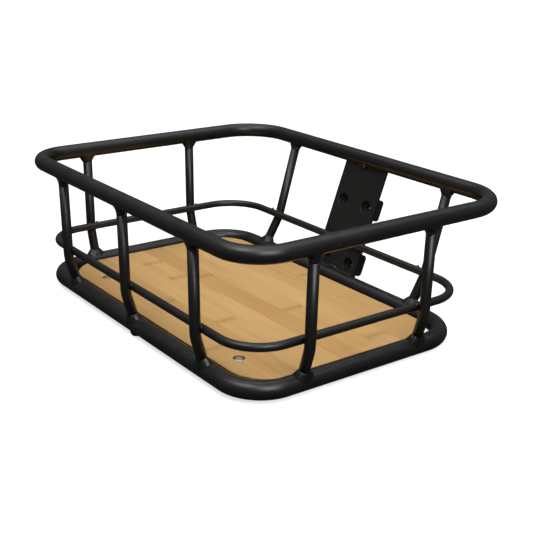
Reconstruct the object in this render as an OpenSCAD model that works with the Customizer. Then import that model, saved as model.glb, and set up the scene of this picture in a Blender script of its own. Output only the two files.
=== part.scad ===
// Front cargo basket: two thick tube loops, a thin rod loop and nine bent uprights, welded
// together, with a leaning mounting plate at the rear and a bamboo floor board.
// X runs along the basket, the front is at -Y and the mounting plate is at the rear, +Y.

/* [Top rail] */
// Outer diameter of the top rail's tube
top_tube_d = 16; // [14:0.5:19]
// Length of the top rail between tube centres
top_len = 410; // [396:1:430]
// Width of the top rail between tube centres
top_wid = 307; // [300:1:320]
// Bend radius of the two front corners
top_bend_front = 38; // [30:1:60]
// Bend radius of the two rear corners
top_bend_rear = 50; // [30:1:60]
// Height of the top rail's centre above the bottom rail's centre
top_rise = 128; // [110:1:150]

/* [Bottom rail] */
// Outer diameter of the bottom rail's tube
bottom_tube_d = 17.5; // [16:0.5:19]
// Length of the bottom rail between tube centres
bottom_len = 385; // [380:1:390]
// Width of the bottom rail between tube centres
bottom_wid = 248; // [244:1:252]
// How far the bottom rail's middle sits in front of the top rail's middle
bottom_shift = 17.3; // [14:0.1:20]
// Bend radius of the two front corners
bottom_bend_front = 38; // [34:1:44]
// Bend radius of the two rear corners
bottom_bend_rear = 42; // [34:1:44]

/* [Middle rail] */
// Diameter of the middle rail's rod
mid_rod_d = 8; // [6:0.5:9]
// Length of the middle rail between rod centres
mid_len = 388; // [386:1:390]
// Width of the middle rail between rod centres
mid_wid = 263; // [261:1:265]
// How far the middle rail's middle sits in front of the top rail's middle
mid_shift = 13.4; // [12:0.1:15]
// Bend radius of the two front corners
mid_bend_front = 40; // [34:1:44]
// Bend radius of the two rear corners
mid_bend_rear = 45; // [36:1:48]
// Height of the middle rail's centre above the bottom rail's centre
mid_rise = 41; // [38:1:44]

/* [Uprights] */
// Outer diameter of an upright's tube
upright_d = 10.2; // [9:0.1:11]
// Bend radius of an upright at its knee
knee_bend = 44; // [25:1:60]
// Height of the knee above the bottom rail's centre
knee_rise = 35; // [32:1:38]
// How far a front knee stands out past the bottom rail's centre
front_knee_out = 10.4; // [10:0.1:12]
// How far a rear knee stands out past the bottom rail's centre
rear_knee_out = 20.6; // [20:0.1:22]
// How far an end knee stands out past the bottom rail's centre
end_knee_out = 10.6; // [10:0.1:12]
// Distance of the outer front and rear uprights from the middle
long_side_pitch = 125; // [110:1:135]
// Place along the width of the front upright on each end
end_upright_front = -86; // [-95:1:-75]
// Place along the width of the rear upright on each end
end_upright_rear = 49; // [40:1:55]

/* [Mounting plate] */
// Width of the mounting plate
plate_w = 66; // [60:1:76]
// Thickness of the mounting plate
plate_t = 4; // [3:0.5:5]
// How far the plate's front face sits behind the line that joins the rails' centres
plate_set_back = 1; // [0.9:0.1:1.5]
// Spacing across the width of the four mounting holes
hole_spacing = 37.8; // [34:0.2:40]
// Distance of the lower pair of holes from the bottom rail's centre, along the plate
lower_hole_s = 19.4; // [18:0.2:22]
// Distance of the upper pair of holes from the bottom rail's centre, along the plate
upper_hole_s = 85.4; // [80:0.2:90]
// Diameter of the wide hole in the plate, which takes a bolt's head
head_hole_d = 14.5; // [14:0.5:16]
// Diameter of the bolt hole in the block behind the plate
bolt_hole_d = 8.5; // [6.5:0.1:9]
// Thickness of each mounting block
block_t = 7.5; // [6:0.5:9]
// Height of each mounting block, along the plate
block_h = 24; // [22:1:26]
// Distance of the lower block's middle from the bottom rail's centre, along the plate
lower_block_s = 22.4; // [21:0.2:24]

/* [Floor board] */
// Length of the bamboo board
board_len = 366; // [350:1:367]
// Width of the bamboo board
board_wid = 222; // [200:1:226]
// Thickness of the bamboo board
board_t = 7; // [6:0.5:8]
// Height of the board's top above the bottom rail's centre
board_top_rise = 3; // [1:0.5:5]
// Radius of the board's corners
board_corner = 40; // [30:1:50]
// Distance of each screw from the board's middle, along its length
screw_x = 127; // [120:1:135]
// Distance of each screw from the board's middle, along its width
screw_y = 89; // [80:1:92]

/* [Board screws] */
// Diameter of a screw's thread
screw_d = 5; // [4:0.5:5]
// Diameter of a screw's head
screw_head_d = 9.4; // [8:0.1:10]
// Height of a screw's head
screw_head_h = 2.6; // [2:0.1:3]
// Diameter of the counterbore that holds a head
counterbore_d = 11.4; // [11:0.1:12]
// Depth of the counterbore
counterbore_t = 3.2; // [3:0.1:3.5]

/* [Bearers and boss] */
// Width of each flat bar under the board
bearer_w = 20; // [16:1:25]
// Thickness of each flat bar under the board
bearer_t = 3.5; // [3:0.5:4]
// Diameter of the lamp boss's head, under the front of the bottom rail
boss_d = 13; // [12:0.5:14]
// Diameter of the lamp boss's stem, inside the bottom rail
boss_stem_d = 9; // [8:0.5:10]
// How far the boss reaches below the bottom rail
boss_drop = 2.5; // [2:0.5:4]
// Diameter of the threaded hole in the boss
boss_hole_d = 5; // [4:0.1:6]
// Depth of the threaded hole in the boss
boss_hole_t = 10; // [7:0.5:11]

/* [Welds] */
// How far a weld collar stands out from an upright at a thick rail
weld_flare = 2.8; // [2:0.1:2.9]
// How far a weld collar climbs along an upright from a thick rail
weld_climb = 5; // [3:0.5:7]
// Radius of the bead along each end of the plate
plate_bead_r = 1.6; // [1:0.1:2]
// Place along the length of the joint that closes the top rail
joint_x = -8; // [-30:1:30]

/* [Hidden] */

$fn = 96;
frame_colour = [0.09, 0.09, 0.085];
weld_colour = [0.14, 0.14, 0.135];
bamboo_colour = [0.78, 0.62, 0.41];
screw_colour = [0.75, 0.75, 0.73];

top_r = top_tube_d / 2;
bottom_r = bottom_tube_d / 2;
mid_r = mid_rod_d / 2;
upright_r = upright_d / 2;
long_reach = 60;

// Heights of the three rails' centres above the ground that the boss stands on
bottom_z = boss_drop + bottom_r;
mid_z = bottom_z + mid_rise;
top_z = bottom_z + top_rise;

// Lines of the bottom rail's long sides, front and rear
bottom_front_y = -bottom_shift - bottom_wid / 2;
bottom_rear_y = -bottom_shift + bottom_wid / 2;

// Each side gives where the knee, the top rail and the middle rail are, as [outwards, upwards]
// from the bottom rail's centre on that side
front_side = [[front_knee_out, knee_rise],
              [top_wid / 2 + bottom_front_y, top_rise],
              [mid_wid / 2 + mid_shift + bottom_front_y, mid_rise]];
rear_side = [[rear_knee_out, knee_rise],
             [top_wid / 2 - bottom_rear_y, top_rise],
             [mid_wid / 2 - mid_shift - bottom_rear_y, mid_rise]];
end_side = [[end_knee_out, knee_rise],
            [(top_len - bottom_len) / 2, top_rise],
            [(mid_len - bottom_len) / 2, mid_rise]];

// Lean and length of the mounting plate between the rails' centres
plate_run = top_wid / 2 - bottom_rear_y;
plate_lean = atan2(plate_run, top_rise);
plate_span = norm([plate_run, top_rise]);

// Heights of the floor's parts
board_top_z = bottom_z + board_top_rise;
board_base_z = board_top_z - board_t;
head_seat_z = board_top_z - counterbore_t;
bearer_base_z = board_base_z - bearer_t;
boss_top_z = boss_hole_t + 2;

screw_places = [for (sx = [-1, 1], sy = [-1, 1]) [sx * screw_x, -bottom_shift + sy * screw_y]];

// ---- shapes that repeat ----

// Puts its children on one side of the bottom rail, with +X outwards and the origin at the rail's centre
module on_front(x) {
    translate([x, bottom_front_y, bottom_z]) rotate([0, 0, -90]) children();
}

module on_rear(x) {
    translate([x, bottom_rear_y, bottom_z]) rotate([0, 0, 90]) children();
}

module on_left(y) {
    translate([-bottom_len / 2, y, bottom_z]) rotate([0, 0, 180]) children();
}

module on_right(y) {
    translate([bottom_len / 2, y, bottom_z]) children();
}

// Runs its children at every upright, with the side's own knee and rail places in $side
module at_every_upright() {
    for (x = [-long_side_pitch, 0, long_side_pitch]) on_front(x) let ($side = front_side) children();
    for (x = [-long_side_pitch, long_side_pitch]) on_rear(x) let ($side = rear_side) children();
    for (y = [end_upright_front, end_upright_rear]) {
        on_left(y) let ($side = end_side) children();
        on_right(y) let ($side = end_side) children();
    }
}

// A rounded loop of round bar, lying flat about the origin and open between its front bends
module open_loop(len, wid, bend_front, bend_rear, tube_r) {
    translate([0, wid / 2, 0])
        rotate([0, 90, 0])
            cylinder(h = len - 2 * bend_rear, r = tube_r, center = true);
    for (sx = [-1, 1])
        translate([sx * len / 2, (bend_front - bend_rear) / 2, 0])
            rotate([90, 0, 0])
                cylinder(h = wid - bend_front - bend_rear, r = tube_r, center = true);
    for (corner = [[1, 1, 0], [-1, 1, 90], [-1, -1, 180], [1, -1, 270]]) {
        bend = corner[1] > 0 ? bend_rear : bend_front;
        translate([corner[0] * (len / 2 - bend), corner[1] * (wid / 2 - bend), 0])
            rotate([0, 0, corner[2]])
                rotate_extrude(angle = 90)
                    translate([bend, 0]) circle(r = tube_r);
    }
}

// A closed rounded loop of round bar
module tube_loop(len, wid, bend_front, bend_rear, tube_r) {
    open_loop(len, wid, bend_front, bend_rear, tube_r);
    translate([0, -wid / 2, 0])
        rotate([0, 90, 0])
            cylinder(h = len - 2 * bend_front, r = tube_r, center = true);
}

// A length of rail across an upright's end, at a place given as [outwards, upwards]
module rail_across(place, rail_r) {
    translate([place[0], 0, place[1]])
        rotate([90, 0, 0])
            cylinder(h = long_reach, r = rail_r, center = true);
}

// A bar from the origin to the head, with one rounded bend at the knee. The bend is a hair
// thicker than the straight lengths, whose ends run a little way into it.
module bent_bar(knee, head, bend, bar_r) {
    low = atan2(knee[0], knee[1]);
    high = atan2(head[0] - knee[0], head[1] - knee[1]);
    cut = bend * tan((low - high) / 2);
    low_len = norm(knee) - cut;
    hair = 0.02;
    run_in = 0.5;
    rotate([0, low, 0])
        cylinder(h = low_len + run_in, r = bar_r);
    translate([low_len * sin(low) - bend * cos(low), 0, low_len * cos(low) + bend * sin(low)])
        rotate([90, 0, 0])
            rotate([0, 0, -low])
                rotate_extrude(angle = low - high)
                    translate([bend, 0]) circle(r = bar_r + hair);
    translate([knee[0], 0, knee[1]])
        rotate([0, high, 0])
            translate([0, 0, cut - run_in])
                cylinder(h = norm(head - knee) - cut + run_in, r = bar_r);
}

// One upright, coped to sit on the rails at both ends and round the middle rail
module upright(side) {
    color(frame_colour)
    difference() {
        bent_bar(side[0], side[1], knee_bend, upright_r);
        rail_across([0, 0], bottom_r);
        rail_across(side[1], top_r);
        rail_across(side[2], mid_r);
    }
}

// A flared ring of weld round an upright's end. The ring's axis leans from vertical towards +X.
module weld_collar(lean, rail_r) {
    difference() {
        rotate([0, lean, 0])
            translate([0, 0, rail_r - weld_flare])
                cylinder(h = weld_climb + weld_flare, r1 = upright_r + weld_flare, r2 = upright_r + 0.3);
        rotate([0, lean, 0]) cylinder(h = long_reach, r = upright_r);
        rail_across([0, 0], rail_r);
    }
}

// Puts its children on the mounting plate: X across, Y rearwards through it, Z along it from
// the bottom rail's centre
module on_plate() {
    translate([0, bottom_rear_y, bottom_z]) rotate([-plate_lean, 0, 0]) children();
}

// Bars along the two rails that the plate meets, in the plate's own frame
module rails_at_plate() {
    for (rail = [[0, bottom_r], [plate_span, top_r]])
        translate([0, 0, rail[0]])
            rotate([0, 90, 0])
                cylinder(h = 2 * plate_w, r = rail[1], center = true);
}

// A pair of round holes through the plate or a block, from one depth to another
module hole_pair(hole_s, hole_d, from_y, depth) {
    for (sx = [-1, 1])
        translate([sx * hole_spacing / 2, from_y + depth, hole_s])
            rotate([90, 0, 0])
                cylinder(h = depth, d = hole_d);
}

// A block behind the plate, with its two outer edges rounded
module mounting_block(middle_s, hole_s) {
    front_y = plate_set_back + plate_t;
    round_r = 4;
    color(frame_colour)
    on_plate()
    difference() {
        union() {
            translate([-plate_w / 2, front_y, middle_s - block_h / 2])
                cube([plate_w, block_t - round_r, block_h]);
            translate([-plate_w / 2, front_y, middle_s - block_h / 2 + round_r])
                cube([plate_w, block_t, block_h - 2 * round_r]);
            for (sz = [-1, 1])
                translate([0, front_y + block_t - round_r, middle_s + sz * (block_h / 2 - round_r)])
                    rotate([0, 90, 0])
                        cylinder(h = plate_w, r = round_r, center = true);
        }
        hole_pair(hole_s, bolt_hole_d, front_y - 1, block_t + 2);
    }
}

// A flat plate with round corners, standing on z = 0
module rounded_board(len, wid, thick, corner) {
    linear_extrude(thick) {
        square([len - 2 * corner, wid], center = true);
        square([len, wid - 2 * corner], center = true);
        for (sx = [-1, 1], sy = [-1, 1])
            translate([sx * (len / 2 - corner), sy * (wid / 2 - corner)]) circle(r = corner);
    }
}

// A flat bar under the board, coped to the front and rear of the bottom rail
module board_bearer(x) {
    color(frame_colour)
    difference() {
        translate([x - bearer_w / 2, bottom_front_y, bearer_base_z])
            cube([bearer_w, bottom_wid, bearer_t]);
        for (y = [bottom_front_y, bottom_rear_y])
            translate([x, y, bottom_z])
                rotate([0, 90, 0])
                    cylinder(h = long_reach, r = bottom_r, center = true);
        for (place = screw_places)
            translate([place[0], place[1], bearer_base_z - 1])
                cylinder(h = bearer_t + 2, d = screw_d);
    }
}

// ---- sub-parts ----

module top_rail() {
    color(frame_colour)
    translate([0, 0, top_z])
        tube_loop(top_len, top_wid, top_bend_front, top_bend_rear, top_r);
}

module middle_rail() {
    color(frame_colour)
    translate([0, -mid_shift, mid_z])
        tube_loop(mid_len, mid_wid, mid_bend_front, mid_bend_rear, mid_r);
}

// The bottom rail's two ends and rear, with all four of its bends
module bottom_rail() {
    color(frame_colour)
    translate([0, -bottom_shift, bottom_z])
        open_loop(bottom_len, bottom_wid, bottom_bend_front, bottom_bend_rear, bottom_r);
}

// The straight length that closes the bottom rail at the front, drilled for the boss's stem
module bottom_rail_front() {
    color(frame_colour)
    translate([0, bottom_front_y, 0])
        difference() {
            translate([0, 0, bottom_z])
                rotate([0, 90, 0])
                    cylinder(h = bottom_len - 2 * bottom_bend_front, r = bottom_r, center = true);
            cylinder(h = boss_top_z, d = boss_stem_d);
        }
}

module mounting_plate() {
    color(frame_colour)
    on_plate()
    difference() {
        translate([-plate_w / 2, plate_set_back, bottom_r / 2])
            cube([plate_w, plate_t, plate_span - bottom_r / 2 - top_r / 2]);
        rails_at_plate();
        for (hole_s = [lower_hole_s, upper_hole_s])
            hole_pair(hole_s, head_hole_d, 0, plate_set_back + plate_t + 1);
    }
}

module floor_board() {
    color(bamboo_colour)
    difference() {
        translate([0, -bottom_shift, board_base_z])
            rounded_board(board_len, board_wid, board_t, board_corner);
        for (place = screw_places)
            translate([place[0], place[1], 0]) {
                translate([0, 0, head_seat_z]) cylinder(h = counterbore_t + 1, d = counterbore_d);
                cylinder(h = board_top_z, d = screw_d);
            }
    }
}

module board_screws() {
    slot_len = 5.2;
    slot_w = 1.2;
    slot_t = 1.6;
    shank_len = head_seat_z - bearer_base_z;
    color(screw_colour)
    for (place = screw_places)
        translate([place[0], place[1], head_seat_z])
            difference() {
                union() {
                    cylinder(h = screw_head_h - 1, d = screw_head_d);
                    translate([0, 0, screw_head_h - 1])
                        cylinder(h = 1, d1 = screw_head_d, d2 = screw_head_d - 2.4);
                    translate([0, 0, -shank_len]) cylinder(h = shank_len, d = screw_d);
                }
                for (turn = [0, 90])
                    rotate([0, 0, turn])
                        translate([-slot_len / 2, -slot_w / 2, screw_head_h - slot_t])
                            cube([slot_len, slot_w, slot_t + 1]);
            }
}

// A threaded bush: its head sits under the bottom rail and its stem goes up into the rail
module lamp_boss() {
    color(frame_colour)
    translate([0, bottom_front_y, 0])
        difference() {
            union() {
                difference() {
                    cylinder(h = bottom_z, d = boss_d);
                    translate([0, 0, bottom_z])
                        rotate([0, 90, 0])
                            cylinder(h = long_reach, r = bottom_r, center = true);
                }
                cylinder(h = boss_top_z, d = boss_stem_d);
            }
            translate([0, 0, -1]) cylinder(h = boss_hole_t + 1, d = boss_hole_d);
        }
}

module top_welds() {
    color(weld_colour)
    at_every_upright() {
        lean = atan2($side[1][0] - $side[0][0], $side[1][1] - $side[0][1]);
        translate([$side[1][0], 0, $side[1][1]])
            mirror([0, 0, 1])
                weld_collar(-lean, top_r);
    }
}

module bottom_welds() {
    color(weld_colour)
    at_every_upright()
        weld_collar(atan2($side[0][0], $side[0][1]), bottom_r);
}

// Two small beads at each upright, on top of the middle rail, one each way along the rail
module middle_welds() {
    bead_r = 2.6;
    color(weld_colour)
    at_every_upright() {
        difference() {
            for (sy = [-1, 1])
                translate([$side[2][0] + mid_r * 0.8, sy * upright_r * 0.9, $side[2][1] + mid_r * 0.6])
                    sphere(r = bead_r, $fn = 48);
            bent_bar($side[0], $side[1], knee_bend, upright_r);
            rail_across($side[2], mid_r);
        }
    }
}

// A bead along each end of the plate, with a short thick run at the middle of the lower one
module plate_welds() {
    bead_len = plate_w - 8;
    lump_len = 11;
    color(weld_colour)
    on_plate()
    difference() {
        union() {
            for (end = [bottom_r, plate_span - top_r])
                translate([0, plate_set_back, end])
                    rotate([0, 90, 0])
                        cylinder(h = bead_len, r = plate_bead_r, center = true);
            translate([0, plate_set_back, bottom_r + 1.5])
                rotate([0, 90, 0])
                    cylinder(h = lump_len, r = 2 * plate_bead_r, center = true);
        }
        rails_at_plate();
        translate([-plate_w, plate_set_back, 0]) cube([2 * plate_w, plate_t, plate_span]);
    }
}

// A bead where each flat bar meets the bottom rail
module bearer_welds() {
    bead_r = 1.2;
    reach = bottom_r - 1.2;
    color(weld_colour)
    for (sx = [-1, 1], side = [[bottom_front_y, 1], [bottom_rear_y, -1]])
        difference() {
            translate([sx * screw_x, side[0] + side[1] * reach, bearer_base_z])
                rotate([0, 90, 0])
                    cylinder(h = bearer_w - 2, r = bead_r, center = true);
            translate([sx * screw_x, side[0], bottom_z])
                rotate([0, 90, 0])
                    cylinder(h = long_reach, r = bottom_r, center = true);
            translate([sx * screw_x - bearer_w, side[0] - bottom_wid, bearer_base_z])
                cube([2 * bearer_w, 2 * bottom_wid, bearer_t]);
        }
}

// The ring where the top rail's tube closes, with a drop of weld under it
module rail_joint_bead() {
    ring_r = 0.3;
    drop_r = 4;
    color(weld_colour)
    translate([joint_x, top_wid / 2, top_z])
        difference() {
            union() {
                rotate([0, 90, 0])
                    rotate_extrude()
                        translate([top_r, 0]) circle(r = ring_r, $fn = 24);
                translate([0, -1, -top_r]) sphere(r = drop_r, $fn = 48);
            }
            rotate([0, 90, 0]) cylinder(h = long_reach, r = top_r, center = true);
            translate([-joint_x, bottom_rear_y - top_wid / 2, bottom_z - top_z])
                rotate([-plate_lean, 0, 0])
                    translate([-plate_w, plate_set_back, 0]) cube([2 * plate_w, plate_t, plate_span]);
        }
}

top_rail();
middle_rail();
bottom_rail();
bottom_rail_front();
on_front(-long_side_pitch) upright(front_side);  // front_upright_left
on_front(0) upright(front_side);  // front_upright_centre
on_front(long_side_pitch) upright(front_side);  // front_upright_right
on_rear(-long_side_pitch) upright(rear_side);  // rear_upright_left
on_rear(long_side_pitch) upright(rear_side);  // rear_upright_right
on_left(end_upright_front) upright(end_side);  // left_upright_front
on_left(end_upright_rear) upright(end_side);  // left_upright_rear
on_right(end_upright_front) upright(end_side);  // right_upright_front
on_right(end_upright_rear) upright(end_side);  // right_upright_rear
mounting_plate();
mounting_block(upper_hole_s, upper_hole_s);  // upper_mounting_block
mounting_block(lower_block_s, lower_hole_s);  // lower_mounting_block
floor_board();
board_screws();
board_bearer(-screw_x);  // board_bearer_left
board_bearer(screw_x);  // board_bearer_right
lamp_boss();
top_welds();
middle_welds();
bottom_welds();
plate_welds();
bearer_welds();
rail_joint_bead();
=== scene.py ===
"""Looks of a tubular cargo basket: a welded black frame with a bamboo floor board."""

import math

import bmesh
import bpy
from mathutils import Matrix, Vector, noise


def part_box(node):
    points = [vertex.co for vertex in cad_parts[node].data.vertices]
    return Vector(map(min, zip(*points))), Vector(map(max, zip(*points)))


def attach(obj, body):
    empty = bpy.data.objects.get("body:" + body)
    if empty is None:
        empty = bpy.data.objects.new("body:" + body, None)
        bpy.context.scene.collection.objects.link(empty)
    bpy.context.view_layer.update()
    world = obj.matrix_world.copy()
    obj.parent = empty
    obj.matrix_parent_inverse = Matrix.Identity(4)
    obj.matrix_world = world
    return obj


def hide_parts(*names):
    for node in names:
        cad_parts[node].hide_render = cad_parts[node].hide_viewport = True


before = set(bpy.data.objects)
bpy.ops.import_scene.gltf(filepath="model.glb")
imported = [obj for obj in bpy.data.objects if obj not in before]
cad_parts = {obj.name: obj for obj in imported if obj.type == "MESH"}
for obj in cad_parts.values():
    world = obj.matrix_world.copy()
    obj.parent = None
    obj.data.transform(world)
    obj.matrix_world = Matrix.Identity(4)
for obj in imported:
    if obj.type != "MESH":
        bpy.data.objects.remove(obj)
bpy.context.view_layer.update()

MM = 0.001
X, Y, Z = Vector((1, 0, 0)), Vector((0, 1, 0)), Vector((0, 0, 1))
FULL_TURN = 2 * math.pi
QUARTER_TURN = math.pi / 2

# Vertices nearer to each other than this are one vertex
SAME_PLACE = 0.005 * MM


# ---- measures read from the frame ----


def box_centre(node):
    """The middle of a CAD node's box."""
    low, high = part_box(node)
    return (Vector(low) + Vector(high)) / 2


def box_size(node):
    """The size of a CAD node's box."""
    low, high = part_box(node)
    return Vector(high) - Vector(low)


def rail_lines(node, front_bend, rear_bend):
    """A rail loop's tube radius and height, the centre lines of its sides, and its bends."""
    low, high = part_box(node)
    radius = (high[2] - low[2]) / 2
    return {
        "radius": radius,
        "z": (high[2] + low[2]) / 2,
        "right": high[0] - radius,
        "front": low[1] + radius,
        "rear": high[1] - radius,
        "front_bend": front_bend,
        "rear_bend": rear_bend,
    }


top = rail_lines("top_rail", front_bend=38 * MM, rear_bend=50 * MM)
middle = rail_lines("middle_rail", front_bend=40 * MM, rear_bend=45 * MM)
bottom = rail_lines("bottom_rail", front_bend=38 * MM, rear_bend=42 * MM)

# Each upright leaves the bottom rail outwards, bends at its knee and climbs to the top rail
KNEE_BEND = 44 * MM
KNEE_RISE = 35 * MM
KNEE_OUT = {"front": 10.4 * MM, "rear": 20.6 * MM, "left": 10.6 * MM, "right": 10.6 * MM}
OUTWARDS = {"front": -Y, "rear": Y, "left": -X, "right": X}
UPRIGHTS = [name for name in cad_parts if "_upright_" in name]
UPRIGHT_RADIUS = box_size("front_upright_centre").x / 2

# The board is laid up from strips of equal width, which lie along X
board_low, board_high = (Vector(corner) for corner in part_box("floor_board"))
STRIP_COUNT = 9
STRIP_WIDTH = (board_high.y - board_low.y) / STRIP_COUNT

# The plate leans back from the bottom rail to the top rail
PLATE_SET_BACK = 1 * MM
plate_foot = Vector((0, bottom["rear"], bottom["z"]))
plate_head = Vector((0, top["rear"], top["z"]))
plate_up = (plate_head - plate_foot).normalized()
plate_back = plate_up.cross(X)

# The boss and the rear of the bottom rail stand on the ground, so the ground leans a little
ground_slope = (bottom["z"] - bottom["radius"]) / (bottom["rear"] - bottom["front"])


# ---- camera ----

CAMERA_AZIMUTH = math.radians(53.472)
CAMERA_ELEVATION = math.radians(19.69)
CAMERA_ROLL = math.radians(0.947)
CAMERA_DISTANCE = 1028.4 * MM
CAMERA_TARGET = Vector((22.67, 0.27, 49.91)) * MM
CAMERA_LENS = 67.166


def make_camera():
    """The camera, which looks at the basket from the front right corner, a little from above."""
    back = Vector(
        (
            math.sin(CAMERA_AZIMUTH) * math.cos(CAMERA_ELEVATION),
            -math.cos(CAMERA_AZIMUTH) * math.cos(CAMERA_ELEVATION),
            math.sin(CAMERA_ELEVATION),
        )
    )
    right = Vector((math.cos(CAMERA_AZIMUTH), math.sin(CAMERA_AZIMUTH), 0))
    up = back.cross(right)
    turn = Matrix((right, up, back)).transposed() @ Matrix.Rotation(CAMERA_ROLL, 3, "Z")
    lens = bpy.data.cameras.new("camera")
    lens.lens = CAMERA_LENS
    lens.sensor_width = 36
    camera = bpy.data.objects.new("camera", lens)
    camera.matrix_world = Matrix.LocRotScale(CAMERA_TARGET + back * CAMERA_DISTANCE, turn, None)
    bpy.context.scene.collection.objects.link(camera)
    bpy.context.scene.camera = camera


make_camera()


# ---- node trees ----


def plug(tree, socket, value):
    """Gives a socket a plain value or another node's output."""
    if isinstance(value, bpy.types.NodeSocket):
        tree.links.new(value, socket)
    else:
        socket.default_value = value


def add(tree, kind, inputs=None, **settings):
    """Adds a shader node. inputs gives what each socket is plugged with."""
    made = tree.nodes.new("ShaderNode" + kind)
    for key, value in settings.items():
        setattr(made, key, value)
    for key, value in (inputs or {}).items():
        plug(tree, made.inputs[key], value)
    return made


def maths(tree, operation, *values):
    """The result of one sum."""
    return add(tree, "Math", dict(enumerate(values)), operation=operation).outputs[0]


def blend(tree, mask, low, high):
    """Two colours mixed by a mask: low where it is 0, high where it is 1."""
    return add(tree, "Mix", {0: mask, 6: low, 7: high}, data_type="RGBA").outputs[2]


def spread(tree, value, low, high, new_low=0.0, new_high=1.0):
    """A value's range stretched to a new range, and held inside it."""
    old_range = {"From Min": low, "From Max": high}
    new_range = {"To Min": new_low, "To Max": new_high}
    return add(tree, "MapRange", {"Value": value, **old_range, **new_range}).outputs["Result"]


def stretched(tree, place, scales):
    """A place with each axis scaled by its own amount, so a pattern on it is drawn out."""
    return add(tree, "VectorMath", {0: place, 1: scales}, operation="MULTIPLY").outputs[0]


def patches(tree, place, scale, detail=2.0, roughness=0.5):
    """A soft noise value from 0 to 1."""
    inputs = {"Vector": place, "Scale": scale, "Detail": detail, "Roughness": roughness}
    return add(tree, "TexNoise", inputs).outputs["Fac"]


def new_group(name, inputs, outputs):
    """A node group with named sockets. Returns it, its inputs' values and its outputs' sockets.

    inputs gives each socket's kind and first value, and outputs gives each socket's kind.
    """
    group = bpy.data.node_groups.new(name, "ShaderNodeTree")
    for key, (kind, value) in inputs.items():
        socket = group.interface.new_socket(key, in_out="INPUT", socket_type="NodeSocket" + kind)
        if value is not None:
            socket.default_value = value
    for key, kind in outputs.items():
        group.interface.new_socket(key, in_out="OUTPUT", socket_type="NodeSocket" + kind)
    entry = group.nodes.new("NodeGroupInput").outputs
    end = group.nodes.new("NodeGroupOutput").inputs
    return group, entry, end


def place_group(tree, group, **values):
    """One use of a node group in a tree. Returns its outputs."""
    made = tree.nodes.new("ShaderNodeGroup")
    made.node_tree = group
    for key, value in values.items():
        plug(tree, made.inputs[key.replace("_", " ")], value)
    return made.outputs


def lengthways(tree, place, amount):
    """A place for marks that are drawn out along X: the smaller the amount, the longer they are."""
    return stretched(tree, place, (amount, 1.0, 1.0))


def upward_part(tree):
    """How far a face looks upwards, from -1 to 1."""
    normal = add(tree, "NewGeometry").outputs["Normal"]
    return add(tree, "SeparateXYZ", {0: normal}).outputs["Z"]


def add_bump(tree, shader, height, strength, depth):
    """Raises a material's skin by a height pattern."""
    bump = add(tree, "Bump", {"Height": height, "Strength": strength, "Distance": depth})
    tree.links.new(bump.outputs["Normal"], shader.inputs["Normal"])


def new_material(name):
    """An empty material. Returns the material, its tree, its Principled shader and its place."""
    material = bpy.data.materials.new(name)
    material.use_nodes = True
    tree = material.node_tree
    place = add(tree, "TexCoord").outputs["Object"]
    return material, tree, tree.nodes["Principled BSDF"], place


# ---- effects that materials share ----


def make_powder_grain():
    """The skin of baked powder: orange peel, fine grit, and a few pale specks caught in it."""
    inputs = {"Place": ("Vector", None), "Peel Scale": ("Float", 700.0), "Specks": ("Float", 0.5)}
    outputs = {"Height": "Float", "Tone": "Float", "Speck": "Float", "Gloss Loss": "Float"}
    tree, given, made = new_group("powder_grain", inputs, outputs)
    peel = patches(tree, given["Place"], given["Peel Scale"], 1.0)
    grit = patches(tree, given["Place"], 3200.0, 3.0, 0.7)
    height = maths(tree, "MULTIPLY_ADD", grit, 0.35, maths(tree, "MULTIPLY", peel, 0.65))
    cloud = patches(tree, given["Place"], 24.0, 3.0)
    cells = add(tree, "TexVoronoi", {"Vector": given["Place"], "Scale": 150.0})
    dot = spread(tree, cells.outputs["Distance"], 0.05, 0.09, 1.0, 0.0)
    chosen = spread(tree, cells.outputs["Color"], 0.86, 0.90)
    speck = maths(tree, "MULTIPLY", maths(tree, "MULTIPLY", dot, chosen), given["Specks"])
    tree.links.new(height, made["Height"])
    tree.links.new(spread(tree, cloud, 0.3, 0.7), made["Tone"])
    tree.links.new(speck, made["Speck"])
    tree.links.new(spread(tree, grit, 0.3, 0.75, -1.0, 1.0), made["Gloss Loss"])
    return tree


def make_dust():
    """Fine dust that settles on faces that look upwards."""
    inputs = {"Place": ("Vector", None), "Facing": ("Float", 0.0), "Amount": ("Float", 0.2)}
    tree, given, made = new_group("settled_dust", inputs, {"Mask": "Float"})
    film = spread(tree, patches(tree, given["Place"], 60.0, 5.0, 0.65), 0.42, 0.75)
    upward = spread(tree, given["Facing"], 0.35, 0.95)
    mask = maths(tree, "MULTIPLY", maths(tree, "MULTIPLY", film, upward), given["Amount"])
    tree.links.new(mask, made["Mask"])
    return tree


# A cane joint's mark: how far it wanders and reaches along the strip, how it fades at the
# strip's sides, and where the line at its middle starts and stops fading
JOINT_WANDER = 3 * MM
JOINT_REACH = 9 * MM
JOINT_SIDE_FADE = 0.6 * MM
JOINT_LINE = (0.4 * MM, 1.5 * MM)


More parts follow.
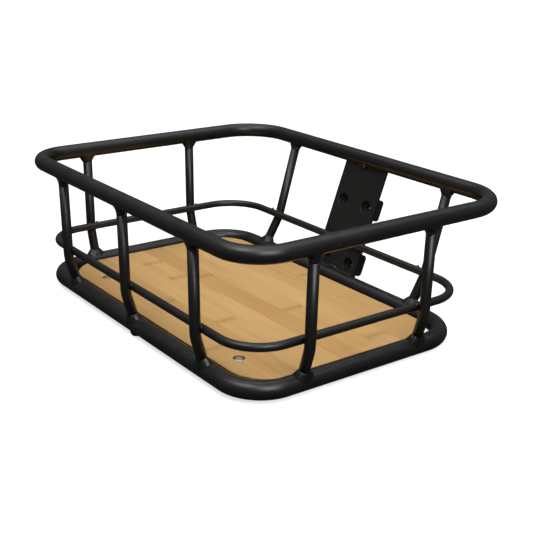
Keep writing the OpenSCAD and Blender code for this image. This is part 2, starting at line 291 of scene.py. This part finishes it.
def make_node_mark():
    """The mottled band across a bamboo strip where the cane had a joint."""
    inputs = {"Place": ("Vector", None), "Along": ("Float", 0.0), "Across": ("Float", 0.0)}
    tree, given, made = new_group("bamboo_node", inputs, {"Mask": "Float", "Line": "Float"})
    axis = add(tree, "SeparateXYZ", {0: given["Place"]}).outputs
    wobble = patches(tree, given["Place"], 120.0, 2.0)
    wander = maths(tree, "MULTIPLY_ADD", wobble, 2 * JOINT_WANDER, -JOINT_WANDER)
    along = maths(tree, "ADD", maths(tree, "SUBTRACT", axis["X"], given["Along"]), wander)
    across = maths(tree, "ABSOLUTE", maths(tree, "SUBTRACT", axis["Y"], given["Across"]))
    inside = spread(tree, across, STRIP_WIDTH / 2 - JOINT_SIDE_FADE, STRIP_WIDTH / 2, 1.0, 0.0)
    away = maths(tree, "ABSOLUTE", along)
    band = maths(tree, "POWER", spread(tree, away, 0.0, JOINT_REACH, 1.0, 0.0), 1.5)
    drawn = stretched(tree, given["Place"], (0.5, 1.3, 1.0))
    mottle = spread(tree, patches(tree, drawn, 420.0, 4.0, 0.7), 0.40, 0.62)
    line = spread(tree, away, *JOINT_LINE, 1.0, 0.0)
    mask = maths(tree, "MULTIPLY", maths(tree, "MULTIPLY", band, mottle), inside)
    tree.links.new(mask, made["Mask"])
    tree.links.new(maths(tree, "MULTIPLY", line, inside), made["Line"])
    return tree


powder_grain = make_powder_grain()
settled_dust = make_dust()
bamboo_node = make_node_mark()


# ---- materials ----

# How much duller dust, loose grit and cloudy patches make the coat
DUST_DULLING = 0.5
GRIT_DULLING = 0.05
CLOUD_DULLING = 0.04

COAT_DARK = (0.0046, 0.0048, 0.0045, 1)
COAT_PALE = (0.0082, 0.0085, 0.0079, 1)
SPECK_TONE = (0.20, 0.19, 0.17, 1)
DUST_TONE = (0.09, 0.088, 0.082, 1)


def make_coat(name, roughness, peel_scale, peel_depth, dust, specks):
    """Satin black powder coat. Each use has its own gloss, peel and dust."""
    material, tree, shader, place = new_material(name)
    grain = place_group(tree, powder_grain, Place=place, Peel_Scale=peel_scale, Specks=specks)
    facing = upward_part(tree)
    dusty = place_group(tree, settled_dust, Place=place, Facing=facing, Amount=dust)["Mask"]
    tone = blend(tree, grain["Tone"], COAT_DARK, COAT_PALE)
    tone = blend(tree, dusty, tone, DUST_TONE)
    tone = blend(tree, grain["Speck"], tone, SPECK_TONE)
    tree.links.new(tone, shader.inputs["Base Color"])
    dull = maths(tree, "MULTIPLY_ADD", grain["Gloss Loss"], GRIT_DULLING, roughness)
    dull = maths(tree, "MULTIPLY_ADD", grain["Tone"], CLOUD_DULLING, dull)
    dull = maths(tree, "MULTIPLY_ADD", dusty, DUST_DULLING, dull)
    tree.links.new(dull, shader.inputs["Roughness"])
    add_bump(tree, shader, grain["Height"], 0.5, peel_depth)
    return material


# Where the cane had its joints: how far from the board's middle, in millimetres, and in which
# strip, counted from 0 at the front
CANE_JOINTS = (
    (96, 0),
    (-28, 1),
    (47, 2),
    (-139, 3),
    (-83, 3),
    (-70, 4),
    (59, 5),
    (158, 6),
    (-160, 7),
    (-12, 8),
    (128, 8),
)
# How strongly a joint's mottled band and its middle line darken the strip
JOINT_BAND_STRENGTH = 0.85
JOINT_LINE_STRENGTH = 0.20
# How far the grain slides from one strip to the next, in metres
GRAIN_SLIDE = 0.37
# The half width of the glue line between strips
GLUE_LINE = 0.3 * MM

STRIP_DARK = (0.43, 0.232, 0.070, 1)
STRIP_PALE = (0.66, 0.415, 0.170, 1)
CANE_LINE = (0.27, 0.125, 0.040, 1)
BURNT_EDGE = (0.26, 0.115, 0.026, 1)
SCORCHED_EDGE = (0.46, 0.235, 0.060, 1)


def make_bamboo():
    """Clear-finished bamboo strips that lie along X, with burnt edges where they were cut."""
    material, tree, shader, place = new_material("bamboo")
    axis = add(tree, "SeparateXYZ", {0: place}).outputs
    strip = maths(tree, "DIVIDE", maths(tree, "SUBTRACT", axis["Y"], board_low.y), STRIP_WIDTH)
    number = maths(tree, "FLOOR", strip)
    own = add(tree, "TexWhiteNoise", {"W": number}, noise_dimensions="1D").outputs["Value"]
    slide = maths(tree, "MULTIPLY", number, GRAIN_SLIDE)
    shifted = add(tree, "CombineXYZ", {"X": slide, "Y": 0.0, "Z": own}).outputs[0]
    moved = add(tree, "VectorMath", {0: place, 1: shifted}, operation="ADD").outputs[0]

    fibre = patches(tree, lengthways(tree, moved, 0.02), 900.0, 4.0, 0.65)
    pores = patches(tree, lengthways(tree, moved, 0.05), 2600.0, 2.0, 0.6)
    streak = patches(tree, lengthways(tree, moved, 0.06), 110.0, 3.0)
    cloud = patches(tree, lengthways(tree, moved, 0.5), 14.0, 2.0)

    warmth = maths(tree, "MULTIPLY_ADD", own, 0.45, maths(tree, "MULTIPLY_ADD", cloud, 0.5, 0.1))
    tone = blend(tree, warmth, STRIP_DARK, STRIP_PALE)
    tone = blend(tree, spread(tree, fibre, 0.50, 0.78, 0.0, 0.42), tone, CANE_LINE)
    tone = blend(tree, spread(tree, streak, 0.52, 0.80, 0.0, 0.30), tone, CANE_LINE)
    tone = blend(tree, spread(tree, pores, 0.60, 0.80, 0.0, 0.22), tone, CANE_LINE)

    for along, strip_number in CANE_JOINTS:
        across = board_low.y + (strip_number + 0.5) * STRIP_WIDTH
        mark = place_group(tree, bamboo_node, Place=place, Along=along * MM, Across=across)
        band = maths(tree, "MULTIPLY", mark["Mask"], JOINT_BAND_STRENGTH)
        line = maths(tree, "MULTIPLY", mark["Line"], JOINT_LINE_STRENGTH)
        tone = blend(tree, band, tone, CANE_LINE)
        tone = blend(tree, line, tone, CANE_LINE)

    edge = maths(tree, "ABSOLUTE", maths(tree, "SUBTRACT", maths(tree, "FRACT", strip), 0.5))
    seam = spread(tree, edge, 0.5 - GLUE_LINE / STRIP_WIDTH, 0.5, 0.0, 0.45)
    tone = blend(tree, seam, tone, CANE_LINE)

    facing = upward_part(tree)
    burnt = spread(tree, maths(tree, "ABSOLUTE", facing), 0.55, 0.85, 1.0, 0.0)
    ply = patches(tree, stretched(tree, place, (0.2, 0.2, 1.0)), 900.0, 3.0)
    scorch = blend(tree, spread(tree, ply, 0.4, 0.65), BURNT_EDGE, SCORCHED_EDGE)
    tone = blend(tree, burnt, tone, scorch)
    tree.links.new(tone, shader.inputs["Base Color"])

    dusty = place_group(tree, settled_dust, Place=place, Facing=facing, Amount=0.06)["Mask"]
    gloss = spread(tree, fibre, 0.3, 0.8, 0.27, 0.40)
    gloss = maths(tree, "MULTIPLY_ADD", dusty, 1.0, gloss)
    gloss = maths(tree, "MULTIPLY_ADD", burnt, 0.35, gloss)
    tree.links.new(gloss, shader.inputs["Roughness"])
    height = maths(tree, "MULTIPLY_ADD", fibre, -0.6, maths(tree, "MULTIPLY", seam, -1.2))
    add_bump(tree, shader, height, 0.35, 0.06 * MM)
    shader.inputs["Specular IOR Level"].default_value = 0.4
    return material


ZINC_BRIGHT = (0.62, 0.625, 0.62, 1)
ZINC_DULL = (0.40, 0.40, 0.39, 1)


def make_plated_steel():
    """Bright zinc-plated steel, with fine drawing marks and a dull film."""
    material, tree, shader, place = new_material("plated_steel")
    film = patches(tree, place, 500.0, 4.0, 0.6)
    marks = patches(tree, stretched(tree, place, (1.0, 1.0, 0.1)), 3000.0, 2.0)
    tone = blend(tree, spread(tree, film, 0.35, 0.7), ZINC_BRIGHT, ZINC_DULL)
    tree.links.new(tone, shader.inputs["Base Color"])
    tree.links.new(spread(tree, film, 0.3, 0.7, 0.24, 0.42), shader.inputs["Roughness"])
    add_bump(tree, shader, marks, 0.3, 0.03 * MM)
    shader.inputs["Metallic"].default_value = 1.0
    return material


# Name, roughness, peel scale, peel depth, amount of dust and strength of specks of each coat
frame_coat = make_coat("black_powder_coat", 0.35, 700.0, 0.05 * MM, 0.10, 0.6)
plate_coat = make_coat("plate_powder_coat", 0.40, 520.0, 0.06 * MM, 0.0, 0.8)
weld_coat = make_coat("weld_powder_coat", 0.29, 420.0, 0.14 * MM, 0.05, 0.2)
seam_coat = make_coat("seam_powder_coat", 0.75, 900.0, 0.10 * MM, 0.0, 0.0)
bamboo = make_bamboo()
plated_steel = make_plated_steel()


# ---- shapes that repeat ----

# Faces that meet at less than the first angle are one flat face, and edges past the second are eased
FLAT_ANGLE = math.radians(0.5)
SHARP_ANGLE = math.radians(35)

# The angle between the rings of vertices round a tube's bend
BEND_STEP = math.radians(3.5)

# A lump of weld: how far apart its dents are, and how deep for its size
LUMP_SPAN = 2.2 * MM
LUMP_DEPTH = 0.12

# A bead of weld: the gap between its rings, how deep its ripples are for its size, how much it
# swells and thins, how quickly, and how blunt its ends are
BEAD_STEP = 0.3 * MM
BEAD_RIPPLE = 0.16
BEAD_SWAY = 0.16
BEAD_SWAY_RATE = 0.06
BEAD_BLUNTNESS = 0.02

# A collar of weld: how uneven it is, how close its dents are, its ripples all round, and how far
# its edges are tucked into the upright and the rail
COLLAR_UNEVEN = 0.22
COLLAR_DENTS = 1.6
COLLAR_RIPPLES = 15
TUCK_IN_UPRIGHT = 0.8 * MM
TUCK_IN_RAIL = 1.2 * MM


def new_verts(made):
    """The vertices that an extrusion or a spin made."""
    return [thing for thing in made if isinstance(thing, bmesh.types.BMVert)]


def ring_edges(ring):
    """The edges that run round a ring of vertices, each once, in the ring's order."""
    inside = set(ring)
    round_ring = (edge for vert in ring for edge in vert.link_edges if inside.issuperset(edge.verts))
    return list(dict.fromkeys(round_ring))


def start_ring(bm, place, heading, radius, segments):
    """A circle of vertices that faces along a heading."""
    turn = heading.to_track_quat("Z", "Y").to_matrix().to_4x4()
    matrix = Matrix.Translation(place) @ turn
    return bmesh.ops.create_circle(bm, segments=segments, radius=radius, matrix=matrix)["verts"]


def grow_ring(bm, ring, move):
    """Extrudes a ring of vertices and moves the new one. Returns the new ring."""
    made = bmesh.ops.extrude_edge_only(bm, edges=ring_edges(ring))["geom"]
    verts = new_verts(made)
    bmesh.ops.translate(bm, verts=verts, vec=move)
    return verts


def spin_full(bm, geom, centre, axis, steps):
    """Turns a profile once round an axis and closes the seam and the poles."""
    bmesh.ops.spin(
        bm,
        geom=geom,
        cent=centre,
        axis=axis,
        angle=FULL_TURN,
        steps=steps,
        use_merge=True,
        use_duplicate=False,
    )
    bmesh.ops.remove_doubles(bm, verts=bm.verts, dist=SAME_PLACE)


def add_bent_bar(bm, place, heading, axis, radius, legs, segments=48, closed=False):
    """A round bar. Each leg is a straight length, then a bend of a radius and an angle about axis."""
    ring = start_ring(bm, place, heading, radius, segments)
    first = ring
    for length, bend, angle in legs:
        ring = grow_ring(bm, ring, heading * length)
        place = place + heading * length
        if angle:
            centre = place + axis.cross(heading) * bend
            made = bmesh.ops.spin(
                bm,
                geom=ring + ring_edges(ring),
                cent=centre,
                axis=axis,
                angle=angle,
                steps=max(3, round(angle / BEND_STEP)),
                use_duplicate=False,
            )
            ring = new_verts(made["geom_last"])
            turn = Matrix.Rotation(angle, 3, axis)
            place = centre + turn @ (place - centre)
            heading = turn @ heading
    if closed:
        bmesh.ops.remove_doubles(bm, verts=bm.verts, dist=2 * SAME_PLACE)
    else:
        bmesh.ops.holes_fill(bm, edges=ring_edges(first) + ring_edges(ring), sides=0)


def add_blob(bm, place, size, turn, seed):
    """A small lump of weld: a ball of the given half sizes with an uneven skin."""
    matrix = Matrix.LocRotScale(place, turn, size)
    verts = bmesh.ops.create_icosphere(bm, subdivisions=3, radius=1, matrix=matrix)["verts"]
    for vert in verts:
        out = vert.co - place
        lump = noise.noise(vert.co / LUMP_SPAN + Vector((seed, 0, 0)))
        vert.co = place + out * (1 + LUMP_DEPTH * lump)


def add_ripple_bead(bm, start, end, radius, seed, pitch=2.4 * MM):
    """A run of weld from start to end, with a scale-like ripple at every pitch and round ends."""
    run = end - start
    steps = max(12, round(run.length / BEAD_STEP))
    ring = start_ring(bm, start, run.normalized(), radius, 20)
    first = ring
    for step in range(steps + 1):
        if step:
            ring = grow_ring(bm, ring, run / steps)
        centre = start + run * step / steps
        from_end = min(step, steps - step) / steps * run.length / radius
        round_off = math.sqrt(max(BEAD_BLUNTNESS, 1 - max(0, 1 - from_end) ** 2))
        ripple = 1 - BEAD_RIPPLE * abs(math.cos(math.pi * step / steps * run.length / pitch))
        sway = 1 + BEAD_SWAY * noise.noise(Vector((step * BEAD_SWAY_RATE, seed, 0)))
        for vert in ring:
            vert.co = centre + (vert.co - centre).normalized() * radius * round_off * ripple * sway
    bmesh.ops.holes_fill(bm, edges=ring_edges(first) + ring_edges(ring), sides=0)


def add_collar(bm, root, along, up, rail_radius, shape, seed):
    """A fillet of weld round an upright's end, on a rail that runs along through root.

    shape gives how far the weld reaches along the rail and across it, how far it climbs the
    upright, how plump it is, from 0, a hollow fillet, to 1, a full round pad, and how deep its
    ripples are. The ring at either end is tucked inside the upright or the rail.
    """
    reach_along, reach_across, climb, plump, ripple_depth = shape
    rows = 12
    widest = 0.98 * rail_radius
    across = up.cross(along)
    ring = bmesh.ops.create_circle(bm, segments=72, radius=UPRIGHT_RADIUS)["verts"]
    rings = [ring]
    for _ in range(rows + 2):
        ring = grow_ring(bm, ring, Vector())
        rings.append(ring)
    for row, ring in enumerate(rings):
        part = min(max(row - 1, 0), rows) / rows
        quarter = part * QUARTER_TURN
        outwards = plump * math.sin(quarter) + (1 - plump) * (1 - math.cos(quarter))
        upwards = plump * math.cos(quarter) + (1 - plump) * (1 - math.sin(quarter))
        for vert in ring:
            angle = math.atan2(vert.co.y, vert.co.x)
            side = Vector((math.cos(angle), math.sin(angle), 0))
            uneven = 1 + COLLAR_UNEVEN * noise.noise(side * COLLAR_DENTS + Vector((0, 0, seed)))
            ripple = ripple_depth * math.sin(COLLAR_RIPPLES * angle + seed) * math.sin(quarter * 2)
            reach = reach_across + (reach_along - reach_across) * abs(side.x)
            out = UPRIGHT_RADIUS + reach * uneven * outwards
            rail_height = math.sqrt(rail_radius**2 - min(out * side.y, widest) ** 2)
            height = rail_height + (climb * uneven + ripple) * upwards + ripple * 0.5
            if row == 0:
                out -= TUCK_IN_UPRIGHT
            if row == rows + 2:
                height -= TUCK_IN_RAIL
            vert.co = root + (along * side.x + across * side.y) * out + up * height
    bmesh.ops.bridge_loops(bm, edges=ring_edges(rings[0]) + ring_edges(rings[-1]))


def finish_piece(name, bm, material, slot, *nodes):
    """Makes a bmesh a smooth piece of the basket that stands for the CAD nodes named."""
    bmesh.ops.recalc_face_normals(bm, faces=bm.faces)
    mesh = bpy.data.meshes.new(name)
    bm.to_mesh(mesh)
    bm.free()
    for face in mesh.polygons:
        face.use_smooth = True
    mesh.materials.append(material)
    piece = bpy.data.objects.new(name, mesh)
    bpy.context.scene.collection.objects.link(piece)
    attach(piece, "root")
    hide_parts(*nodes)
    return piece


def make_eased(node, ease, material, slot):
    """A copy of a CAD node with its sharp edges eased."""
    bm = bmesh.new()
    bm.from_mesh(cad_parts[node].data)
    bmesh.ops.remove_doubles(bm, verts=bm.verts, dist=SAME_PLACE)
    bmesh.ops.dissolve_limit(bm, angle_limit=FLAT_ANGLE, verts=bm.verts, edges=bm.edges)
    sharp = [edge for edge in bm.edges if edge.is_manifold and edge.calc_face_angle() > SHARP_ANGLE]
    bmesh.ops.bevel(
        bm,
        geom=sharp,
        offset=ease,
        offset_type="OFFSET",
        segments=3,
        profile=0.5,
        affect="EDGES",
        material=-1,
        clamp_overlap=True,
    )
    piece = finish_piece(node + "_eased", bm, material, slot, node)
    piece.modifiers.new("flat_faces", "WEIGHTED_NORMAL")


# ---- the tubes ----


def make_rail(name, rail, *nodes):
    """A rail: one round tube bent into a closed loop."""
    half_front = rail["right"] - rail["front_bend"]
    half_rear = rail["right"] - rail["rear_bend"]
    side = rail["rear"] - rail["front"] - rail["front_bend"] - rail["rear_bend"]
    legs = (
        (2 * half_front, rail["front_bend"], QUARTER_TURN),
        (side, rail["rear_bend"], QUARTER_TURN),
        (2 * half_rear, rail["rear_bend"], QUARTER_TURN),
        (side, rail["front_bend"], QUARTER_TURN),
    )
    bm = bmesh.new()
    start = Vector((-half_front, rail["front"], rail["z"]))
    add_bent_bar(bm, start, X, Z, rail["radius"], legs, segments=64, closed=True)
    finish_piece(name, bm, frame_coat, "frame_coat", *nodes)


def side_of(node):
    """The side of the basket that an upright's name starts with."""
    return node.split("_")[0]


def on_rail(rail, node):
    """Where an upright meets a rail's centre line."""
    centre = box_centre(node)
    places = {
        "front": Vector((centre.x, rail["front"], rail["z"])),
        "rear": Vector((centre.x, rail["rear"], rail["z"])),
        "left": Vector((-rail["right"], centre.y, rail["z"])),
        "right": Vector((rail["right"], centre.y, rail["z"])),
    }
    return places[side_of(node)]


def upright_lines(node):
    """An upright's foot and head, its headings below and above the knee, and its knee."""
    side = side_of(node)
    foot = on_rail(bottom, node)
    head = on_rail(top, node)
    knee = foot + OUTWARDS[side] * KNEE_OUT[side] + Z * KNEE_RISE
    return foot, head, (knee - foot).normalized(), (head - knee).normalized(), knee


def make_upright(node):
    """One upright tube, from inside the bottom rail to inside the top rail."""
    foot, head, low_heading, high_heading, knee = upright_lines(node)
    angle = low_heading.angle(high_heading)
    cut = KNEE_BEND * math.tan(angle / 2)
    axis = low_heading.cross(high_heading).normalized()
    legs = (
        ((knee - foot).length - cut, KNEE_BEND, angle),
        ((head - knee).length - cut, 0, 0),
    )
    bm = bmesh.new()
    add_bent_bar(bm, foot, low_heading, axis, UPRIGHT_RADIUS, legs)
    finish_piece(node + "_tube", bm, frame_coat, "frame_coat", node)


make_rail("top_rail_tube", top, "top_rail")
make_rail("middle_rail_rod", middle, "middle_rail")
make_rail("bottom_rail_tube", bottom, "bottom_rail", "bottom_rail_front")
for node in UPRIGHTS:
    make_upright(node)


# ---- the welds ----

# Reach along the rail, reach across it, climb, plumpness and ripple depth of the weld at each end
TOP_WELD = (4.6 * MM, 1.7 * MM, 7.0 * MM, 0.12, 0.10 * MM)
BOTTOM_WELD = (4.6 * MM, 2.4 * MM, 5.2 * MM, 0.55, 0.20 * MM)


def make_end_welds():
    """The welds where the uprights meet the top rail and the bottom rail."""
    above, below = bmesh.new(), bmesh.new()
    for index, node in enumerate(UPRIGHTS):
        foot, head, low_heading, high_heading, _ = upright_lines(node)
        along = Z.cross(OUTWARDS[side_of(node)])
        add_collar(above, head, along, -high_heading, top["radius"], TOP_WELD, 3.7 * index)
        add_collar(below, foot, along, low_heading, bottom["radius"], BOTTOM_WELD, 5.3 * index)
    finish_piece("top_weld_fillets", above, frame_coat, "weld_coat", "top_welds")
    finish_piece("bottom_weld_pads", below, weld_coat, "weld_coat", "bottom_welds")


def make_middle_welds():
    """Two small beads at each upright, one on each side of it, on top of the middle rail."""
    bead_size = Vector((1.6, 1.6, 2.3)) * MM
    # Where a bead's middle lies, in shares of the upright's radius and of the rod's
    beside, outside, above = 0.92, 0.8, 0.55
    bm = bmesh.new()
    for index, node in enumerate(UPRIGHTS):
        outwards = OUTWARDS[side_of(node)]
        along = Z.cross(outwards)
        turn = Matrix((along, outwards, Z)).transposed().to_quaternion()
        rod = on_rail(middle, node)
        for side in (-1, 1):
            place = rod + along * side * UPRIGHT_RADIUS * beside
            place = place + (outwards * outside + Z * above) * middle["radius"]
            add_blob(bm, place, bead_size, turn, 7.1 * index + side)
    finish_piece("middle_weld_beads", bm, weld_coat, "weld_coat", "middle_welds")


def make_plate_welds():
    """A rippled bead along each end of the plate, with a thick lump at the middle below."""
    half = box_size("plate_welds").x / 2
    bead_radius = 1.6 * MM
    set_back = PLATE_SET_BACK * plate_back
    low = plate_foot + plate_up * bottom["radius"] + set_back
    high = plate_head - plate_up * top["radius"] + set_back
    bm = bmesh.new()
    for seed, line in enumerate((low, high)):
        add_ripple_bead(bm, line - X * half, line + X * half, bead_radius, seed)
    lump = low + plate_up * 1.4 * MM
    lump_left, lump_right, lump_radius, lump_pitch = 6 * MM, 5 * MM, 3 * MM, 3.4 * MM
    add_ripple_bead(bm, lump - X * lump_left, lump + X * lump_right, lump_radius, 9, lump_pitch)
    finish_piece("plate_weld_beads", bm, weld_coat, "weld_coat", "plate_welds")


def make_bearer_welds():
    """A bead where each flat bar under the board meets the bottom rail."""
    low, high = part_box("bearer_welds")
    radius = 1.15 * MM
    inset = 1.2 * MM
    half = X * (box_size("board_bearer_right").x / 2 - 1 * MM)
    bearer_x = box_centre("board_bearer_right").x
    bm = bmesh.new()
    for index, side in enumerate((-1, 1)):
        for y in (low[1] + inset, high[1] - inset):
            centre = Vector((side * bearer_x, y, low[2] + inset))
            add_ripple_bead(bm, centre - half, centre + half, radius, index)
    finish_piece("bearer_weld_beads", bm, weld_coat, "weld_coat", "bearer_welds")


def make_rail_joint():
    """The thin seam round the top rail where its tube closes, and the drop of weld under it."""
    joint = Vector((box_centre("rail_joint_bead").x, top["rear"], top["z"]))
    seam_radius, seam_sink = 0.28 * MM, 0.02 * MM
    bm = bmesh.new()
    ring = start_ring(bm, joint + Z * (top["radius"] - seam_sink), Y, seam_radius, 12)
    spin_full(bm, ring + ring_edges(ring), joint, X, 96)
    finish_piece("top_rail_seam", bm, seam_coat, "weld_coat", "rail_joint_bead")

    # The drop is two lumps, a large one to the right of a small one, a little in front of the joint
    under = joint - Z * top["radius"] - Y * 3.6 * MM
    large_size = Vector((4.8, 3.4, 4.0)) * MM
    small_size = Vector((3.6, 2.8, 2.6)) * MM
    bm = bmesh.new()
    add_blob(bm, under + X * 6.5 * MM, large_size, None, 4.0)
    add_blob(bm, under + X * 1 * MM, small_size, None, 8.0)
    finish_piece("top_rail_weld_drop", bm, weld_coat, "weld_coat", "rail_joint_bead")


make_end_welds()
make_middle_welds()
make_plate_welds()
make_bearer_welds()
make_rail_joint()


# ---- plate, blocks, bearers and boss ----

make_eased("mounting_plate", 0.5 * MM, plate_coat, "frame_coat")
make_eased("upper_mounting_block", 0.6 * MM, plate_coat, "frame_coat")
make_eased("lower_mounting_block", 0.6 * MM, plate_coat, "frame_coat")
make_eased("board_bearer_left", 0.4 * MM, frame_coat, "frame_coat")
make_eased("board_bearer_right", 0.4 * MM, frame_coat, "frame_coat")


def make_lamp_boss():
    """The boss under the front rail: a turned bush that tapers to its face, with a tapped hole."""
    hole = 2.5 * MM
    hole_depth = 9 * MM
    drill_tip = 10 * MM
    thread_turns = 8
    thread_pitch = 1.0 * MM
    thread_depth = 0.25 * MM
    # Radius and height of each corner of the face and the body, in millimetres, from the bottom up
    face = ((2.9, 0), (4.5, 0), (4.9, 0.4))
    body = ((5.9, 2.6), (6.5, 4.6), (6.5, 8.0), (3.0, 11.6), (0, 11.6))
    profile = [(0, drill_tip), (hole, hole_depth)]
    for turn in range(thread_turns):
        crest = hole_depth - (turn + 0.5) * thread_pitch
        profile.append((hole - thread_depth, crest))
        profile.append((hole, crest - thread_pitch / 2))
    profile += [(radius * MM, height * MM) for radius, height in face + body]
    centre = Vector((0, bottom["front"], 0))
    bm = bmesh.new()
    verts = [bm.verts.new(centre + X * radius + Z * height) for radius, height in profile]
    edges = [bm.edges.new(pair) for pair in zip(verts, verts[1:])]
    spin_full(bm, verts + edges, centre, Z, 64)
    piece = finish_piece("lamp_boss_turned", bm, frame_coat, "frame_coat", "lamp_boss")
    piece.modifiers.new("flat_faces", "WEIGHTED_NORMAL")


make_lamp_boss()


# ---- board and screws ----

make_eased("floor_board", 0.7 * MM, bamboo, "bamboo")

SCREW_HEAD_RADIUS = 4.7 * MM
SCREW_HEAD_HEIGHT = 2.6 * MM
SCREW_RECESS_DEPTH = 1.5 * MM
SCREW_SHANK_RADIUS = 2.5 * MM
# The share of the head's height that is its straight rim
SCREW_RIM_SHARE = 0.45
# How far each screw's cross is turned, in degrees
SCREW_TURNS = (35, 80, 10, 62)


def in_cross(x, y):
    """How far inside the cross recess a point of a screw head is, from 0, outside, to 1."""
    arm, width, edge = 2.5 * MM, 0.62 * MM, 0.35 * MM
    depths = []
    for long_way, short_way in ((abs(x), abs(y)), (abs(y), abs(x))):
        inside = min(arm - long_way, width - short_way) / edge
        depths.append(min(1, max(0, inside)))
    return max(depths)


def add_screw(bm, seat, shank_length, turn):
    """A pan-head screw with a cross recess. seat is the underside of its head."""
    overlap = 0.05 * MM
    verts = bmesh.ops.create_grid(bm, x_segments=56, y_segments=56, size=1)["verts"]
    rim = [vert for vert in verts if vert.is_boundary]
    # The square grid is drawn in to a disc and raised to a dome
    for vert in verts:
        x = vert.co.x * math.sqrt(1 - vert.co.y**2 / 2)
        y = vert.co.y * math.sqrt(1 - vert.co.x**2 / 2)
        dome = (1 - min(1, math.hypot(x, y)) ** 4) ** 0.5
        recess = in_cross(x * SCREW_HEAD_RADIUS, y * SCREW_HEAD_RADIUS)
        height = SCREW_HEAD_HEIGHT * (SCREW_RIM_SHARE + (1 - SCREW_RIM_SHARE) * dome)
        height -= SCREW_RECESS_DEPTH * recess
        vert.co = Vector((x * SCREW_HEAD_RADIUS, y * SCREW_HEAD_RADIUS, height))
    skirt = grow_ring(bm, rim, Vector())
    for vert in skirt:
        vert.co.z = 0
    bmesh.ops.holes_fill(bm, edges=ring_edges(skirt), sides=0)
    shank = bmesh.ops.create_cone(
        bm,
        cap_ends=True,
        segments=32,
        radius1=SCREW_SHANK_RADIUS * 0.9,
        radius2=SCREW_SHANK_RADIUS,
        depth=shank_length,
        matrix=Matrix.Translation(-Z * (shank_length / 2 - overlap)),
    )["verts"]
    matrix = Matrix.Translation(seat) @ Matrix.Rotation(math.radians(turn), 4, "Z")
    bmesh.ops.transform(bm, matrix=matrix, verts=verts + skirt + shank)


def make_screws():
    """The four screws that hold the board to its bearers."""
    low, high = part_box("board_screws")
    centre = box_centre("board_screws")
    far = Vector(high) - centre
    seat_z = high[2] - SCREW_HEAD_HEIGHT
    corners = [(side, end) for side in (-1, 1) for end in (-1, 1)]
    bm = bmesh.new()
    for (side, end), turn in zip(corners, SCREW_TURNS):
        x = centre.x + side * (far.x - SCREW_HEAD_RADIUS)
        y = centre.y + end * (far.y - SCREW_HEAD_RADIUS)
        add_screw(bm, Vector((x, y, seat_z)), seat_z - low[2], turn)
    finish_piece("board_screws_detailed", bm, plated_steel, "screw_plating", "board_screws")


make_screws()


# ---- stage ----

FLOOR_HALF_WIDTH = 12.0
# The floor's tone and glow: pale to the camera, and dark to the light that bounces off it
FLOOR_TONE_SEEN = (0.55, 0.55, 0.55, 1)
FLOOR_TONE_BOUNCED = (0.05, 0.05, 0.05, 1)
FLOOR_GLOW = 0.68
BLACK = (0, 0, 0, 1)
WHITE = (1, 1, 1, 1)


def make_floor():
    """A wide pale floor under the boss and the rear of the bottom rail."""
    bm = bmesh.new()
    bmesh.ops.create_grid(bm, x_segments=1, y_segments=1, size=FLOOR_HALF_WIDTH)
    for vert in bm.verts:
        vert.co.z = (vert.co.y - bottom["front"]) * ground_slope
    mesh = bpy.data.meshes.new("floor")
    bm.to_mesh(mesh)
    bm.free()
    floor = bpy.data.objects.new("floor", mesh)
    bpy.context.scene.collection.objects.link(floor)
    material, tree, shader, _ = new_material("pale_floor")
    shader.inputs["Roughness"].default_value = 0.9
    shader.inputs["Specular IOR Level"].default_value = 0.1
    seen = add(tree, "LightPath").outputs["Is Camera Ray"]
    tone = blend(tree, seen, FLOOR_TONE_BOUNCED, FLOOR_TONE_SEEN)
    glow = blend(tree, seen, BLACK, WHITE)
    tree.links.new(tone, shader.inputs["Base Color"])
    tree.links.new(glow, shader.inputs["Emission Color"])
    shader.inputs["Emission Strength"].default_value = FLOOR_GLOW
    mesh.materials.append(material)


SOFTBOX_AIM = Z * 70 * MM


def make_softbox(name, azimuth, elevation, distance, size, watts):
    """A square area light that looks at the basket. The azimuth turns from the front to the right."""
    turn = math.radians(azimuth)
    rise = math.radians(elevation)
    away = Vector(
        (math.sin(turn) * math.cos(rise), -math.cos(turn) * math.cos(rise), math.sin(rise))
    )
    light = bpy.data.lights.new(name, "AREA")
    light.shape = "SQUARE"
    light.size = size
    light.energy = watts
    box = bpy.data.objects.new(name, light)
    box.location = SOFTBOX_AIM + away * distance
    box.rotation_euler = away.to_track_quat("Z", "Y").to_euler()
    bpy.context.scene.collection.objects.link(box)


CEILING_SPREAD = math.radians(85)
CEILING_STRENGTH = 1.85
ROOM_GLOW = 0.14


def make_studio():
    """Plain soft light: a wide glowing ceiling, two softboxes and a dim pale room."""
    ceiling = bpy.data.lights.new("ceiling", "SUN")
    ceiling.angle = CEILING_SPREAD
    ceiling.energy = CEILING_STRENGTH
    overhead = bpy.data.objects.new("ceiling", ceiling)
    bpy.context.scene.collection.objects.link(overhead)
    make_softbox("front_softbox", azimuth=10, elevation=62, distance=1.6, size=0.7, watts=8)
    make_softbox("right_softbox", azimuth=76, elevation=36, distance=1.5, size=0.75, watts=11)
    world = bpy.data.worlds.new("room")
    world.use_nodes = True
    tree = world.node_tree
    seen = add(tree, "LightPath").outputs["Is Camera Ray"]
    room = tree.nodes["Background"]
    room.inputs["Color"].default_value = WHITE
    tree.links.new(spread(tree, seen, 0.0, 1.0, ROOM_GLOW, 1.0), room.inputs["Strength"])
    bpy.context.scene.world = world
    bpy.context.scene.view_settings.view_transform = "Standard"


make_floor()
make_studio()
